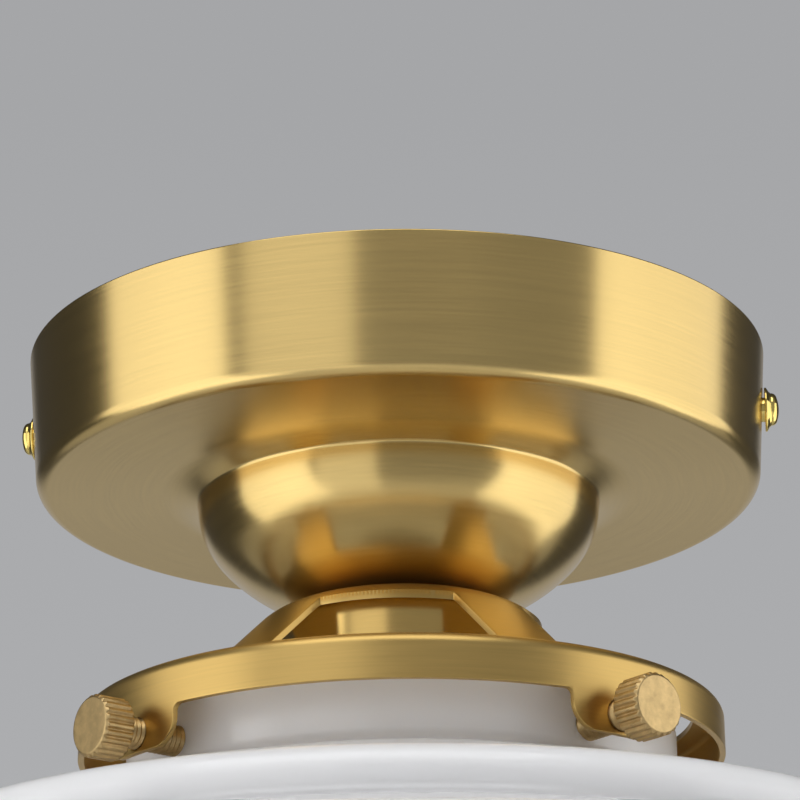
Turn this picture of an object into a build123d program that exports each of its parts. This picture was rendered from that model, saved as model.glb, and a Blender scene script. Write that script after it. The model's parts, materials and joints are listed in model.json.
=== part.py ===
from build123d import *
from math import cos, pi, radians, sin, tan
import os

# Flush mount ceiling light: spun brass canopy with a round neck, stamped gallery, opal glass shade.
# Millimetres. The ceiling is z = 0, the lamp's axis is Z and everything hangs below it.
# X runs along the ceiling bracket, from one canopy screw to the other.

# Clearances
thread_gap = 0.05
seat_gap = 0.3

# Canopy: one spun sheet, a pan whose underside runs through a flare into a round neck
canopy_sheet = 1.0
canopy_radius = 60.0
canopy_depth = 22.2
canopy_draft = 3.9
canopy_corner = 2.2
flare_arc = 13.5
flare_turn = 25.0
throat_arc = 0.7
neck_radius = 32.4
neck_side_arc = 13.2
neck_side_turn = 43.0
neck_seat = 8.4

# Threaded nipple that joins neck, gallery, cup and socket
nipple_radius = 5.0
nipple_bore = 3.5
nipple_above_nut = 1.8
nipple_below_bridge = 1.4
nipple_hole_gap = 0.2
nut_flats = 14.0
neck_nut_height = 4.0
neck_washer_height = 1.2
hub_washer_height = 0.8
hub_washer_radius = 9.0
cup_nut_height = 3.0
bush_collar = 1.2
bush_depth = 4.0
bush_wall = 0.7

# Gallery: stamped spider with four arms, a band and four ears
gallery_sheet = 1.0
gallery_turn = 43.9
hub_flat = 15.8
hub_shoulder = 10.5
arm_slope = 43.8
arm_drop = 17.3
arm_foot_arc = 8.0
arm_width = 13.7
window_top_radius = 22.7
window_corner = 4.5
flange_width = 4.0
band_radius = 51.0
band_bend = 1.8
band_height = 7.2
ear_width = 16.9
ear_height = 5.95
ear_corner = 4.2
ear_root = 1.0
ear_hole_drop = 3.0

# Thumbscrews
thumb_stud_radius = 2.4
thumb_head_standoff = 3.4
thumb_head_radius = 4.75
thumb_head_length = 5.0
thumb_head_chamfer = 0.5
thumb_socket = 3.0

# Opal glass shade
glass = 3.2
shade_neck_radius = 43.4
shade_tip_gap = 0.2
shade_drop = 2.9
shade_neck_height = 11.4
step_slope = 15.4
step_1_radius = 85.0
step_1_height = 6.8
step_2_radius = 106.5
step_2_height = 7.6
belly_radius = 122.0
belly_height = 40.0
base_radius = 88.0
shade_height = 134.0
step_round = 4.0
step_hollow = 2.5
belly_top_round = 8.0
belly_low_round = 60.0
base_round = 26.0
lean = 0.4
round_share = 0.495

# Ceiling bracket
bracket_width = 16.0
bracket_sheet = 1.5
bracket_inset = 3.4
bracket_ear = 16.0
bracket_bend = 2.0
slot_spacing = 76.0
slot_length = 14.0
slot_width = 4.5
canopy_screw_drop = 9.5

# Canopy screws
canopy_shank_radius = 2.0
canopy_shank_inside = 3.2
canopy_flange_radius = 3.6
canopy_flange_rim = 0.4
canopy_cap_radius = 2.65
canopy_cone_height = 0.95
canopy_cap_height = 2.3
canopy_cap_round = 1.1
canopy_cap_socket = 0.8
canopy_hole_gap = 0.4

# Earth screw and ring terminal
earth_x = 22.0
earth_screw_radius = 2.0
earth_head_radius = 3.8
earth_head_height = 2.2
ring_terminal_sheet = 0.8
ring_terminal_radius = 3.9
ring_barrel_radius = 1.9
ring_barrel_length = 6.0

# Socket cup
cup_sheet = 0.7
cup_radius = 20.0
cup_corner = 2.0
cup_height = 44.0

# Socket bridge and the screws that hold the porcelain to it
bridge_sheet = 1.6
bridge_width = 15.0
bridge_length = 24.0
fixing_x = 8.0
fixing_radius = 1.5
fixing_head_radius = 2.25
fixing_head_height = 1.8

# Porcelain socket, screw shell, contact and terminals
porcelain_radius = 18.8
porcelain_height = 37.4
porcelain_floor = 9.4
porcelain_recess = 6.0
pocket_width = 8.0
pocket_depth = 7.0
terminal_width = 6.0
terminal_length = 5.0
terminal_height = 5.0
terminal_stem = 1.2
live_y = 8.0
neutral_y = -12.0
terminal_screw_radius = 1.4
terminal_screw_head = 2.2
terminal_screw_height = 1.6
shell_sheet = 0.4
shell_inside = 13.35
shell_length = 24.5
shell_ring = 10.6
contact_sheet = 0.6
contact_width = 5.0
contact_dip = 3.2

# Bulb
cap_radius = 13.05
cap_sheet = 0.45
cap_length = 20.0
insulator_height = 3.2
insulator_tip = 5.0
bulb_tip_radius = 4.4
bulb_tip_height = 1.0
bulb_glass = 0.8
bulb_radius = 30.0
bulb_length = 82.0
bulb_neck_inset = 5.0
bulb_flare_turn = 50.0

# Terminal block
block_length = 28.0
block_width = 13.0
block_height = 11.0
block_y = 39.5
pole_pitch = 9.0
clamp_radius = 2.3
clamp_bore = 1.35
clamp_screw_radius = 1.2
clamp_screw_drop = 2.6

# Leads
lead_radius = 1.0
lead_offset = 1.3
lead_bend = 2.5
lead_drop = 3.2

# Levels, from the ceiling down
drop_rate = tan(radians(canopy_draft))
underside = -canopy_depth
throat_drop = flare_arc * (1 - cos(radians(flare_turn))) + throat_arc * cos(radians(flare_turn))
flare_run = flare_arc * sin(radians(flare_turn)) + throat_arc * (1 - sin(radians(flare_turn)))
flare_start = neck_radius + flare_run
side_sin = sin(radians(neck_side_turn))
side_cos = cos(radians(neck_side_turn))
neck_floor_arc = neck_side_arc + (neck_radius - neck_side_arc - neck_seat) / side_cos
neck_widest = underside - throat_drop
neck_floor = neck_widest - neck_side_arc * side_sin - neck_floor_arc * (1 - side_sin)
neck_inside = neck_floor + canopy_sheet
pan_inside = underside + canopy_sheet
neck_nut_low = neck_inside + neck_washer_height
neck_nut_high = neck_nut_low + neck_nut_height
nipple_top = neck_nut_high + nipple_above_nut
hub_under = neck_floor - gallery_sheet
cup_top = hub_under - hub_washer_height
cup_inside_top = cup_top - cup_sheet
bridge_top = cup_inside_top - cup_nut_height
bridge_under = bridge_top - bridge_sheet
nipple_low = bridge_under - nipple_below_bridge
nipple_hole = nipple_radius + nipple_hole_gap
flange_top = neck_floor - arm_drop
band_low = flange_top - band_height
ear_low = band_low - ear_height
stud_level = band_low - ear_hole_drop
shade_top = flange_top - shade_drop
porcelain_top = bridge_under
porcelain_low = porcelain_top - porcelain_height
socket_floor = porcelain_top - porcelain_floor
lead_level = nipple_low - lead_drop
pocket_floor = porcelain_top - pocket_depth
terminal_top = pocket_floor + terminal_height
contact_low = socket_floor - contact_dip - contact_sheet
bulb_tip_top = contact_low - seat_gap
insulator_top = bulb_tip_top - bulb_tip_height
cap_top = insulator_top - insulator_height
cap_low = cap_top - cap_length
tip_reach = shade_neck_radius + shade_tip_gap
head_back = band_radius + thumb_head_standoff
stud_back = head_back + thumb_socket
bracket_reach = canopy_radius - bracket_inset
canopy_wall = canopy_radius - canopy_screw_drop * drop_rate
cap_seat = canopy_wall + canopy_flange_radius * drop_rate + seat_gap / 2
screw_level = -canopy_screw_drop
earth_terminal_low = -bracket_sheet - ring_terminal_sheet
pole_level = pan_inside + block_height / 2

LOW = (Align.CENTER, Align.CENTER, Align.MIN)
ALONG_X = Plane.YZ


def turned(outline):
    """Solid turned about the lamp's axis from a flat outline of radius and height."""
    return revolve(Plane.XZ * outline, Axis.Z)


def disc(radius, low, high):
    """Solid cylinder on the lamp's axis between two levels."""
    return Pos(0, 0, low) * Cylinder(radius, high - low, align=LOW)


def ring(inner, outer, low, high):
    """Plain ring on the lamp's axis between two levels."""
    return disc(outer, low, high) - disc(inner, low, high)


def rod(radius, start, end, level, y=0.0):
    """Cylinder that lies along X between two distances from the axis."""
    return Pos(start, y, level) * (Rot(0, 90, 0) * Cylinder(radius, end - start, align=LOW))


def pin(radius, x, y, low, high):
    """Upright cylinder at a place in plan."""
    return Pos(x, y, low) * Cylinder(radius, high - low, align=LOW)


def brick(x0, x1, y0, y1, z0, z1):
    """Block between two corners."""
    return Pos((x0 + x1) / 2, (y0 + y1) / 2, (z0 + z1) / 2) * Box(x1 - x0, y1 - y0, z1 - z0)


def hex_nut(low, high):
    """Hexagon nut for the nipple."""
    corner = nut_flats / 2 / cos(pi / 6)
    body = Pos(0, 0, low) * extrude(RegularPolygon(corner, 6), high - low)
    return body - disc(nipple_radius + thread_gap, low, high)


def around(angle, piece):
    """A piece modelled along X, turned about the lamp's axis."""
    return Rot(0, 0, angle) * piece


def arc_on(curve, radius, turn):
    """Arc that goes on from a curve's end in the same direction."""
    return JernArc(curve @ 1, curve % 1, radius, turn)


def sheet_between(path, thickness, side):
    """Closed face of a bent sheet, whose one side follows the path and the other lies left or right of it."""
    wire = Wire(path)
    across = (wire % 0).rotate(Axis.Z, 90 if side == Side.LEFT else -90)
    within = wire @ 0 + (across + wire % 0) * thickness / 2
    faces = [make_face(offset(wire, thickness, side=choice).edges()) for choice in (Side.LEFT, Side.RIGHT)]
    return next(face for face in faces if face.is_inside(within))


def fitted_rounds(points, radii):
    """Radii of a path's rounds, each limited by the shorter of the two runs beside it."""
    fitted = []
    for before, corner, after, radius in zip(points, points[1:], points[2:], radii):
        run_in = Vector(corner) - Vector(before)
        run_out = Vector(after) - Vector(corner)
        half_turn = radians(run_in.get_angle(run_out)) / 2
        room = round_share * min(run_in.length, run_out.length)
        fitted.append(min(radius, room / tan(half_turn)))
    return fitted


ear_angles = [gallery_turn - 90 + 90 * i for i in range(4)]
thumb_names = ["front_right", "back_right", "back_left", "front_left"]


def canopy():
    """Pan, flare and neck as one spun sheet, with its screw holes and the nipple's hole."""
    above = canopy_sheet
    low_radius = canopy_radius - canopy_depth * drop_rate
    pan = FilletPolyline(
        (canopy_radius + above * drop_rate, above),
        (low_radius, underside),
        (flare_start, underside),
        radius=canopy_corner,
    )
    flare = arc_on(pan, flare_arc, flare_turn)
    throat = arc_on(flare, throat_arc, 90 - flare_turn)
    side = arc_on(throat, neck_side_arc, -neck_side_turn)
    floor = arc_on(side, neck_floor_arc, neck_side_turn - 90)
    seat = Line(floor @ 1, (nipple_hole, (floor @ 1).Y))
    path = pan.edges() + [flare, throat, side, floor, seat]
    body = turned(sheet_between(path, canopy_sheet, Side.RIGHT))
    body -= disc(canopy_radius + 2 * above, 0, 3 * above)
    hole = canopy_shank_radius + canopy_hole_gap
    inside = canopy_radius / 2
    for start in (inside, -canopy_radius - above):
        body -= rod(hole, start, start + canopy_radius - inside + above, screw_level)
    return body


def ceiling_bracket():
    """Flat bar with two slots and an ear bent down at each end."""
    half = bracket_width / 2
    bar = brick(-bracket_reach, bracket_reach, -half, half, -bracket_sheet, 0)
    for side in (1, -1):
        outer = side * bracket_reach
        inner = side * (bracket_reach - bracket_sheet)
        bar += brick(min(inner, outer), max(inner, outer), -half, half, -bracket_ear, 0)
    corners = [e for e in bar.edges().filter_by(Axis.Y) if abs(e.center().Z) < 0.01]
    bar = fillet([e for e in corners if abs(e.center().X) > bracket_reach - 0.01], bracket_bend)
    tips = [e for e in bar.edges().filter_by(Axis.X) if e.center().Z < -bracket_ear + 0.01]
    bar = fillet(tips, half / 2)
    slot = extrude(SlotOverall(slot_length, slot_width), bracket_sheet)
    for x in (-slot_spacing / 2, slot_spacing / 2):
        bar -= Pos(x, 0, -bracket_sheet) * slot
    for start in (bracket_reach - 2 * bracket_sheet, -bracket_reach - bracket_sheet):
        bar -= rod(canopy_shank_radius + thread_gap, start, start + 3 * bracket_sheet, screw_level)
    return bar - pin(earth_screw_radius + thread_gap, earth_x, 0, -bracket_sheet, 0)


def canopy_screw_shank():
    """Threaded shank of the canopy screw on the +X side."""
    inner_end = bracket_reach - canopy_shank_inside
    return rod(canopy_shank_radius, inner_end, cap_seat + canopy_cap_socket, screw_level)


def canopy_screw_cap():
    """Dished flange and domed cap of the canopy screw on the +X side."""
    rim = cap_seat + canopy_flange_rim
    cone = cap_seat + canopy_cone_height
    crown = cap_seat + canopy_cap_height
    dome = FilletPolyline(
        (cone, canopy_cap_radius), (crown, canopy_cap_radius), (crown, 0), radius=canopy_cap_round
    )
    foot = Polyline(
        (crown, 0), (cap_seat, 0), (cap_seat, canopy_flange_radius), (rim, canopy_flange_radius), dome @ 0
    )
    cap = Pos(0, 0, screw_level) * revolve(make_face(dome.edges() + foot.edges()), Axis.X)
    socket_end = cap_seat + canopy_cap_socket
    return cap - rod(canopy_shank_radius + thread_gap, cap_seat, socket_end, screw_level)


def earth_screw():
    """Pan head screw that clamps the ring terminal under the bracket."""
    head = pin(earth_head_radius, earth_x, 0, earth_terminal_low - earth_head_height, earth_terminal_low)
    head = fillet(head.edges().sort_by(Axis.Z)[0], earth_head_height / 3)
    return head + pin(earth_screw_radius, earth_x, 0, earth_terminal_low, 0)


def earth_terminal():
    """Ring terminal with a crimp barrel that points at the terminal block."""
    eye = pin(ring_terminal_radius, earth_x, 0, earth_terminal_low, -bracket_sheet)
    barrel_y = ring_terminal_radius - 0.6
    tail_half = ring_barrel_radius * 0.8
    tail = brick(
        earth_x - tail_half, earth_x + tail_half, 0, barrel_y + 1, earth_terminal_low, -bracket_sheet
    )
    level = -bracket_sheet - ring_barrel_radius
    barrel = Rot(-90, 0, 0) * Cylinder(ring_barrel_radius, ring_barrel_length, align=LOW)
    bore = Rot(-90, 0, 0) * Cylinder(lead_radius + thread_gap, ring_barrel_length, align=LOW)
    place = Pos(earth_x, barrel_y + 1, level)
    piece = eye + tail + place * barrel - Pos(0, 1.5, 0) * place * bore
    return piece - pin(earth_screw_radius + thread_gap, earth_x, 0, earth_terminal_low, 0)


def nipple():
    """Threaded tube, open for the leads."""
    return ring(nipple_bore, nipple_radius, nipple_low, nipple_top)


def nipple_bush():
    """Plastic bush that keeps the leads off the nipple's top edge."""
    bore = nipple_bore - bush_wall
    collar = disc(nipple_radius - 0.2, nipple_top, nipple_top + bush_collar)
    body = collar + disc(nipple_bore - thread_gap, nipple_top - bush_depth, nipple_top)
    body -= disc(bore, nipple_top - bush_depth, nipple_top + bush_collar)
    return fillet(body.edges().sort_by(Axis.Z)[-2:], bush_wall / 3)


def gallery():
    """Stamped shade holder: hub, four sloping arms, flange, band and four ears."""
    hub = Line((nipple_hole, neck_floor), (hub_flat, neck_floor))
    shoulder = arc_on(hub, hub_shoulder, -arm_slope)
    slope = radians(arm_slope)
    fall = arm_drop - (hub_shoulder + arm_foot_arc) * (1 - cos(slope))
    foot_start = shoulder @ 1 + Vector(fall / tan(slope), -fall)
    arm = Line(shoulder @ 1, foot_start)
    foot = arc_on(arm, arm_foot_arc, arm_slope)
    flat = Line(foot @ 1, (band_radius - band_bend, flange_top))
    bend = arc_on(flat, band_bend, -90)
    skirt = Line(bend @ 1, (band_radius, ear_low))
    path = [hub, shoulder, arm, foot, flat, bend, skirt]
    body = turned(sheet_between(path, gallery_sheet, Side.RIGHT))

    half = ear_width / 2
    lobe = Pos(0, -ear_height / 2) * Rectangle(ear_width, ear_height)
    lobe += Pos(0, band_height / 4) * Rectangle(2 * band_radius - 2, band_height / 2)
    roots = [v for v in lobe.vertices() if abs(v.Y) < 0.01 and abs(v.X) < half + 0.01]
    lobe = fillet(roots, ear_root)
    tips = [v for v in lobe.vertices() if v.Y < 0.01 - ear_height]
    lobe = fillet(tips, ear_corner)
    cross = Rectangle(2 * band_radius, arm_width) + Rectangle(arm_width, 2 * band_radius)
    window_foot = band_radius - band_bend - flange_width + gallery_sheet
    windows = Circle(window_foot) - Circle(window_top_radius) - cross
    windows = fillet(windows.vertices(), window_corner)

    keep = disc(band_radius + 1, band_low + band_height / 4, neck_floor + 1)
    for angle in ear_angles:
        outline = Plane(origin=(0, 0, band_low), x_dir=(0, 1, 0), z_dir=(1, 0, 0)) * lobe
        keep += around(angle, extrude(outline, band_radius + 1))
    body = body & keep
    depth = arm_drop + gallery_sheet + 0.2
    body -= Rot(0, 0, ear_angles[0]) * Pos(0, 0, neck_floor - depth) * extrude(windows, depth)
    hole = thumb_stud_radius + thread_gap
    for angle in ear_angles:
        body -= around(angle, rod(hole, band_radius - 5, band_radius + 5, stud_level))
    return body


def thumb_stud():
    """Threaded stud of a thumbscrew, pointing at the axis."""
    stud = rod(thumb_stud_radius, tip_reach, stud_back, stud_level)
    return chamfer(stud.edges().sort_by(Axis.X)[0], thumb_stud_radius / 5)


def thumb_head():
    """Round thumbscrew head with a blind hole for its stud."""
    face = head_back + thumb_head_length
    head = rod(thumb_head_radius, head_back, face, stud_level)
    head = chamfer(head.edges().sort_by(Axis.X)[-1], thumb_head_chamfer)
    return head - rod(thumb_stud_radius + thread_gap, head_back, stud_back, stud_level)


def socket_cup():
    """Deep cup that hides the socket, open below."""
    path = FilletPolyline(
        (nipple_hole, cup_top), (cup_radius, cup_top), (cup_radius, cup_top - cup_height), radius=cup_corner
    )
    return turned(sheet_between(path.edges(), cup_sheet, Side.RIGHT))


def socket_bridge():
    """Steel bar screwed on the nipple's lower end, which carries the porcelain."""
    half = bridge_width / 2
    bar = brick(-bridge_length / 2, bridge_length / 2, -half, half, bridge_under, bridge_top)
    bar = fillet(bar.edges().filter_by(Axis.Z), half / 3)
    bar -= disc(nipple_radius + thread_gap, bridge_under, bridge_top)
    for x in (-fixing_x, fixing_x):
        bar -= pin(fixing_radius + thread_gap, x, 0, bridge_under, bridge_top)
    return bar


def fixing_screws():
    """Two screws that go up through the porcelain's floor into the bridge."""
    screws = []
    for x in (-fixing_x, fixing_x):
        head = pin(fixing_head_radius, x, 0, socket_floor - fixing_head_height, socket_floor)
        screws.append(head + pin(fixing_radius, x, 0, socket_floor, bridge_top))
    return Compound(children=screws)


def pocket(centre):
    """Room for one terminal in the porcelain's top."""
    half = pocket_width / 2
    return brick(-half, half, centre - half, centre + half, pocket_floor, porcelain_top)


def porcelain_socket():
    """Glazed porcelain body with the bore for the bulb's cap."""
    body = disc(porcelain_radius, porcelain_low, porcelain_top)
    body = fillet(body.edges().sort_by(Axis.Z)[0], 1.2)
    bore = shell_inside + shell_sheet + seat_gap
    body -= disc(bore, porcelain_low, socket_floor)
    body -= disc(nipple_radius + 0.4, porcelain_top - porcelain_recess, porcelain_top)
    body -= pocket(live_y) + pocket(neutral_y)
    groove = lead_radius + seat_gap
    body -= brick(-groove, groove, neutral_y, 0, lead_level - groove, porcelain_top)
    for x in (-fixing_x, fixing_x):
        body -= pin(fixing_radius + 0.1, x, 0, socket_floor, porcelain_top)
    for y in (live_y, neutral_y):
        body -= pin(terminal_stem + thread_gap, 0, y, socket_floor, pocket_floor)
    return body


def terminal(centre):
    """Brass block with a stem riveted through the porcelain's floor."""
    half = terminal_length / 2
    wide = terminal_width / 2
    block = brick(-wide, wide, centre - half, centre + half, pocket_floor, terminal_top)
    block += pin(terminal_stem, 0, centre, socket_floor, pocket_floor)
    hole_low = lead_level + lead_radius
    return block - pin(terminal_screw_radius + thread_gap, 0, centre, hole_low, terminal_top)


def terminal_screws():
    """The two screws on the socket's terminals."""
    screws = []
    for y in (live_y, neutral_y):
        head = pin(terminal_screw_head, 0, y, terminal_top, terminal_top + terminal_screw_height)
        slot = brick(-terminal_screw_head, terminal_screw_head, y - 0.4, y + 0.4, 0, 0.8)
        head -= Pos(0, 0, terminal_top + terminal_screw_height - 0.8) * slot
        shank_low = lead_level + lead_radius + thread_gap
        screws.append(head + pin(terminal_screw_radius, 0, y, shank_low, terminal_top))
    return Compound(children=screws)


def screw_shell():
    """Thin sleeve that takes the bulb's cap, with a ring under the porcelain's floor."""
    sleeve = ring(shell_inside, shell_inside + shell_sheet, socket_floor - shell_length, socket_floor)
    return sleeve + ring(shell_ring, shell_inside, socket_floor - shell_sheet, socket_floor)


def centre_contact():
    """Springy strip from the live terminal's stem down to the bulb's tip."""
    seat = live_y - terminal_stem - 0.4
    path = FilletPolyline(
        (live_y + terminal_stem + 0.2, socket_floor),
        (seat, socket_floor),
        (bulb_tip_radius / 2, socket_floor - contact_dip),
        (-bulb_tip_radius / 2, socket_floor - contact_dip),
        radius=0.8,
    )
    strip = sheet_between(path.edges(), contact_sheet, Side.LEFT)
    return Pos(-contact_width / 2, 0, 0) * extrude(Plane.YZ * strip, contact_width)


def bulb_cap():
    """Sleeve of the bulb's screw cap."""
    return ring(cap_radius - cap_sheet, cap_radius, cap_low, cap_top)


def bulb_insulator():
    """Black glass cone between the cap and the tip."""
    outline = Polyline(
        (0, insulator_top),
        (insulator_tip, insulator_top),
        (cap_radius - cap_sheet / 2, cap_top),
        (0, cap_top),
        close=True,
    )
    return turned(make_face(outline))


def bulb_tip():
    """Bottom contact of the bulb, which faces up in the socket."""
    tip = disc(bulb_tip_radius, insulator_top, bulb_tip_top)
    return fillet(tip.edges().sort_by(Axis.Z)[-1], bulb_tip_height / 2)


def bulb_envelope():
    """Frosted glass envelope with its neck in the cap."""
    neck = cap_radius - cap_sheet - seat_gap
    turn = radians(bulb_flare_turn)
    flare_radius = (bulb_radius * cos(turn) - neck) / (1 - cos(turn))
    ball_level = cap_low - bulb_length + bulb_radius
    neck_low = ball_level + (bulb_radius + flare_radius) * sin(turn)
    stem = Line((neck, cap_low + bulb_neck_inset), (neck, neck_low))
    flare = arc_on(stem, flare_radius, bulb_flare_turn)
    ball = arc_on(flare, bulb_radius, -bulb_flare_turn - 90)
    return turned(sheet_between([stem, flare, ball], bulb_glass, Side.RIGHT))


def glass_shade():
    """Opal glass shade: straight neck, two steps, belly and closed base."""
    slope = tan(radians(step_slope))
    neck_low = shade_top - shade_neck_height
    step_1_top = neck_low - (step_1_radius - shade_neck_radius) * slope
    step_1_low = step_1_top - step_1_height
    step_2_top = step_1_low - (step_2_radius - step_1_radius) * slope
    step_2_low = step_2_top - step_2_height
    belly_top = step_2_low - (belly_radius - step_2_radius) * slope
    base = shade_top - shade_height
    points = [
        (shade_neck_radius, shade_top),
        (shade_neck_radius, neck_low),
        (step_1_radius, step_1_top),
        (step_1_radius + lean, step_1_low),
        (step_2_radius, step_2_top),
        (step_2_radius + lean, step_2_low),
        (belly_radius, belly_top),
        (belly_radius, belly_top - belly_height),
        (base_radius, base),
        (0, base),
    ]
    steps = [step_hollow, step_round, step_hollow, step_round, step_hollow]
    rounds = steps + [belly_top_round, belly_low_round, base_round]
    outer = FilletPolyline(*points, radius=fitted_rounds(points, rounds))
    body = turned(sheet_between(outer.edges(), glass, Side.RIGHT))
    rim = [e for e in body.edges().filter_by(GeomType.CIRCLE) if abs(e.center().Z - shade_top) < 0.01]
    return fillet(rim, glass * 0.45)


def terminal_block():
    """Plastic block with three poles, lying on the pan's floor."""
    half = block_length / 2
    top = pan_inside + block_height
    body = brick(-half, half, block_y, block_y + block_width, pan_inside, top)
    body = fillet(body.edges().filter_by(Axis.Z), 1.0)
    for x in (-pole_pitch, 0, pole_pitch):
        bore = Cylinder(clamp_radius + thread_gap, block_width, align=LOW)
        body -= Pos(x, block_y, pole_level) * (Rot(-90, 0, 0) * bore)
        screw_y = block_y + block_width / 2
        body -= pin(clamp_screw_radius + 0.6, x, screw_y, pole_level, top)
    return body


def block_clamps():
    """Brass tubes in the block's three poles."""
    clamps = []
    for x in (-pole_pitch, 0, pole_pitch):
        tube = Cylinder(clamp_radius, block_width, align=LOW) - Cylinder(clamp_bore, block_width, align=LOW)
        tube = Pos(x, block_y, pole_level) * (Rot(-90, 0, 0) * tube)
        screw_y = block_y + block_width / 2
        top = pan_inside + block_height
        tube -= pin(clamp_screw_radius + thread_gap, x, screw_y, pole_level, top)
        clamps.append(tube)
    return Compound(children=clamps)


def block_screws():
    """Clamp screws of the block's three poles."""
    screws = []
    for x in (-pole_pitch, 0, pole_pitch):
        y = block_y + block_width / 2
        low = pole_level + lead_radius + thread_gap
        top = pan_inside + block_height - 1.0
        screw = pin(clamp_screw_radius, x, y, low, top)
        screw -= brick(x - clamp_screw_radius, x + clamp_screw_radius, y - 0.3, y + 0.3, top - 0.8, top)
        screws.append(screw)
    return Compound(children=screws)


def lead(name, route, radii):
    """Insulated lead along straight runs joined by arcs."""
    path = FilletPolyline(*route, radius=radii)
    start = Plane(path @ 0, z_dir=path % 0)
    body = sweep(start * Circle(lead_radius), path)
    section = pi * lead_radius**2
    print(name, "length", round(path.length, 1), "radii", radii, "volume ratio",
          round(body.volume / (section * path.length), 4))
    return body


def block_end(pole):
    """Where a lead ends in the terminal block, half way to its screw."""
    return (pole * pole_pitch, block_y + block_width / 2 + 2, pole_level)


def live_lead():
    """From the live terminal up the nipple to the block's first pole."""
    y_face = live_y - terminal_length / 2
    route = [
        (0, y_face, lead_level),
        (0, lead_offset, lead_level),
        (0, lead_offset, pan_inside + 1.5),
        (-pole_pitch * 0.8, 20, pole_level + 4),
        (-pole_pitch, block_y - 7, pole_level),
        block_end(-1),
    ]
    return lead("live_lead", route, [lead_bend, 9.0, 14.0, 7.0])


def neutral_lead():
    """From the neutral terminal up the nipple to the block's middle pole."""
    y_face = neutral_y + terminal_length / 2
    route = [
        (0, y_face, lead_level),
        (0, -lead_offset, lead_level),
        (0, -lead_offset, pole_level + 5),
        (1.5, 20, pole_level + 8),
        (0, block_y - 7, pole_level),
        block_end(0),
    ]
    return lead("neutral_lead", route, [lead_bend, 9.0, 12.0, 7.0])


def earth_lead():
    """From the ring terminal on the bracket to the block's last pole."""
    level = -bracket_sheet - ring_barrel_radius
    start_y = ring_terminal_radius + 0.4 + 1.5
    route = [
        (earth_x, start_y, level),
        (earth_x, start_y + 12, level),
        (earth_x - 8, start_y + 22, level - 5),
        (pole_pitch, block_y - 4, pole_level),
        block_end(1),
    ]
    return lead("earth_lead", route, [10.0, 10.0, 6.0])


pieces = {
    "ceiling_bracket": ceiling_bracket(),
    "canopy": canopy(),
    "earth_screw": earth_screw(),
    "earth_terminal": earth_terminal(),
    "nipple": nipple(),
    "nipple_bush": nipple_bush(),
    "neck_washer": ring(nipple_hole, neck_seat - 0.2, neck_inside, neck_nut_low),
    "neck_nut": hex_nut(neck_nut_low, neck_nut_high),
    "gallery": gallery(),
    "hub_washer": ring(nipple_hole, hub_washer_radius, cup_top, hub_under),
    "cup_nut": hex_nut(bridge_top, cup_inside_top),
    "socket_cup": socket_cup(),
    "socket_bridge": socket_bridge(),
    "fixing_screws": fixing_screws(),
    "porcelain_socket": porcelain_socket(),
    "live_terminal": terminal(live_y),
    "neutral_terminal": terminal(neutral_y),
    "terminal_screws": terminal_screws(),
    "screw_shell": screw_shell(),
    "centre_contact": centre_contact(),
    "bulb_cap": bulb_cap(),
    "bulb_insulator": bulb_insulator(),
    "bulb_tip": bulb_tip(),
    "bulb_envelope": bulb_envelope(),
    "glass_shade": glass_shade(),
    "terminal_block": terminal_block(),
    "block_clamps": block_clamps(),
    "block_screws": block_screws(),
    "live_lead": live_lead(),
    "neutral_lead": neutral_lead(),
    "earth_lead": earth_lead(),
}
for side, angle in (("right", 0), ("left", 180)):
    pieces["canopy_screw_shank_" + side] = around(angle, canopy_screw_shank())
    pieces["canopy_screw_cap_" + side] = around(angle, canopy_screw_cap())
for name, angle in zip(thumb_names, ear_angles):
    pieces["thumb_stud_" + name] = around(angle, thumb_stud())
    pieces["thumb_head_" + name] = around(angle, thumb_head())

os.makedirs("parts", exist_ok=True)
for name, piece in pieces.items():
    export_step(piece, os.path.join("parts", name + ".step"))
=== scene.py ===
import json
from math import asin, atan, atan2, cos, hypot, pi, radians, sin, tan

import bmesh
import bpy
from bpy.props import FloatProperty, FloatVectorProperty, IntProperty, PointerProperty
from mathutils import Matrix, Vector


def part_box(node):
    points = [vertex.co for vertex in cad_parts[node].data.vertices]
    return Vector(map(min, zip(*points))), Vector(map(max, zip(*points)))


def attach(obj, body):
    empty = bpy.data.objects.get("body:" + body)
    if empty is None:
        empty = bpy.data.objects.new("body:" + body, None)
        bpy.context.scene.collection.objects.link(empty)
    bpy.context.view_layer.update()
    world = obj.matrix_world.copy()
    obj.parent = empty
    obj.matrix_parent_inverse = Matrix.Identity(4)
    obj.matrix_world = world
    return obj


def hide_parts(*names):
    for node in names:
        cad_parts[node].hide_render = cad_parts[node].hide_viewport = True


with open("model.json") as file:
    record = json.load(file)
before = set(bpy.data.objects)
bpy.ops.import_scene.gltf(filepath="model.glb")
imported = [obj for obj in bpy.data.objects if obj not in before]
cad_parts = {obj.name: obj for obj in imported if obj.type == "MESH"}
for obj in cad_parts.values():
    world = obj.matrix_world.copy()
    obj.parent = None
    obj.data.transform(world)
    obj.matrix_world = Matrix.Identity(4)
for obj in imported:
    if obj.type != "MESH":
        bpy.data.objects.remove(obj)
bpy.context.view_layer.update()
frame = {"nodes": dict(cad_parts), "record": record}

bl_info = {
    "name": "Flush Ceiling Light",
    "version": (1, 0, 0),
    "blender": (4, 5, 0),
    "location": "3D View > Sidebar > Ceiling Light",
    "description": "Dresses a flush ceiling light: brass canopy, gallery, thumbscrews, opal shade and socket",
    "category": "Object",
}

CORNERS = ("front_right", "back_right", "back_left", "front_left")
SIDES = ("right", "left")


# Property helpers
def length(name, description, millimetres):
    """Length property whose default is given in millimetres."""
    return FloatProperty(
        name=name,
        description=description,
        default=millimetres / 1000,
        precision=5,
        subtype="DISTANCE",
        unit="LENGTH",
    )


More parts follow.
